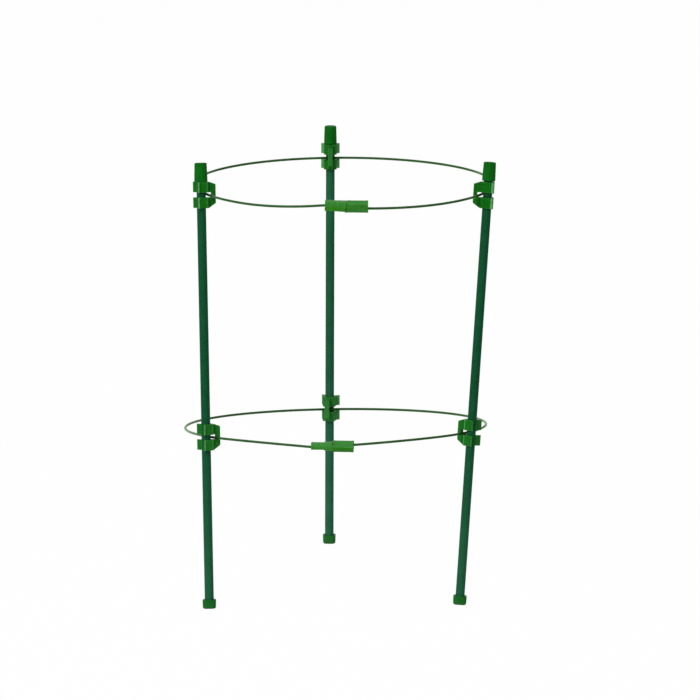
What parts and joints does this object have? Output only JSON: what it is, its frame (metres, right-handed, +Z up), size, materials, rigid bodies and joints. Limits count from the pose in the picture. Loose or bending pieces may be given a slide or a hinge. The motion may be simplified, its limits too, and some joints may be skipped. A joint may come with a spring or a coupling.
{
  "type": "grow through plant support",
  "caption": "Garden plant support: coated stakes carry wire rings one above the other on clips that slide on the stakes, so stems grow up through the rings.",
  "frame": {"origin": "on the ground under the middle of the bounding box", "axes": "+Z up; -Y towards the front, where the ring joiners are; +X to the right seen from the front"},
  "size_m": [0.3184, 0.3314, 0.4514],
  "materials": {
    "stake_coat": "smooth dark green plastic coat",
    "steel": "bare steel tube, hidden",
    "top_cap": "moulded mid green plastic",
    "foot_cap": "moulded mid green plastic",
    "clip": "moulded bright green plastic, lightly glossy",
    "joiner": "moulded light green plastic, lightly glossy",
    "ring_wire": "steel wire with a thin dull olive green coat"
  },
  "bodies": {
    "stakes": {"left_stake_coat": "stake_coat", "left_stake_tube": "steel", "left_top_cap": "top_cap", "left_foot_cap": "foot_cap", "right_stake_coat": "stake_coat", "right_stake_tube": "steel", "right_top_cap": "top_cap", "right_foot_cap": "foot_cap", "back_stake_coat": "stake_coat", "back_stake_tube": "steel", "back_top_cap": "top_cap", "back_foot_cap": "foot_cap"},
    "upper_back_clip": {"upper_back_clip": "clip"},
    "upper_left_clip": {"upper_left_clip": "clip"},
    "upper_right_clip": {"upper_right_clip": "clip"},
    "upper_ring": {"upper_hoop": "ring_wire", "upper_joiner_plug": "joiner", "upper_joiner_socket": "joiner"},
    "lower_back_clip": {"lower_back_clip": "clip"},
    "lower_left_clip": {"lower_left_clip": "clip"},
    "lower_right_clip": {"lower_right_clip": "clip"},
    "lower_ring": {"lower_hoop": "ring_wire", "lower_joiner_plug": "joiner", "lower_joiner_socket": "joiner"}
  },
  "joints": [
    {"name": "upper_ring_height", "type": "slide", "parent": "stakes", "child": "upper_back_clip", "axis": [0.0037, 0.0015, 1], "range_m": [-0.05, 0]},
    {"name": "upper_left_clip_slide", "type": "slide", "parent": "stakes", "child": "upper_left_clip", "axis": [-0.0176, 0.1229, 0.9923], "range_m": [-0.0506, 0]},
    {"name": "upper_right_clip_slide", "type": "slide", "parent": "stakes", "child": "upper_right_clip", "axis": [0.0651, 0.0855, 0.9942], "range_m": [-0.0505, 0]},
    {"name": "upper_ring_turn", "type": "hinge", "parent": "upper_back_clip", "child": "upper_ring", "pos_m": [0.00564, -0.00108, 0.41713], "axis": [0.001, -0.0096, 1], "range_deg": [-30, 30]},
    {"name": "lower_ring_height", "type": "slide", "parent": "stakes", "child": "lower_back_clip", "axis": [0.0037, 0.0015, 1], "range_m": [-0.02, 0.02]},
    {"name": "lower_left_clip_slide", "type": "slide", "parent": "stakes", "child": "lower_left_clip", "axis": [-0.0176, 0.1229, 0.9923], "range_m": [-0.02, 0.02]},
    {"name": "lower_right_clip_slide", "type": "slide", "parent": "stakes", "child": "lower_right_clip", "axis": [0.0651, 0.0855, 0.9942], "range_m": [-0.02, 0.02]},
    {"name": "lower_ring_turn", "type": "hinge", "parent": "lower_back_clip", "child": "lower_ring", "pos_m": [-0.00296, -0.00378, 0.1645], "axis": [-0.0127, 0.1063, 0.9943], "range_deg": [-20, 20]}
  ],
  "couplings": [
    {"joint": "upper_left_clip_slide", "follows": "upper_ring_height", "ratio": 1.009},
    {"joint": "upper_right_clip_slide", "follows": "upper_ring_height", "ratio": 1.0066},
    {"joint": "lower_left_clip_slide", "follows": "lower_ring_height", "ratio": 0.99452},
    {"joint": "lower_right_clip_slide", "follows": "lower_ring_height", "ratio": 0.9976}
  ]
}
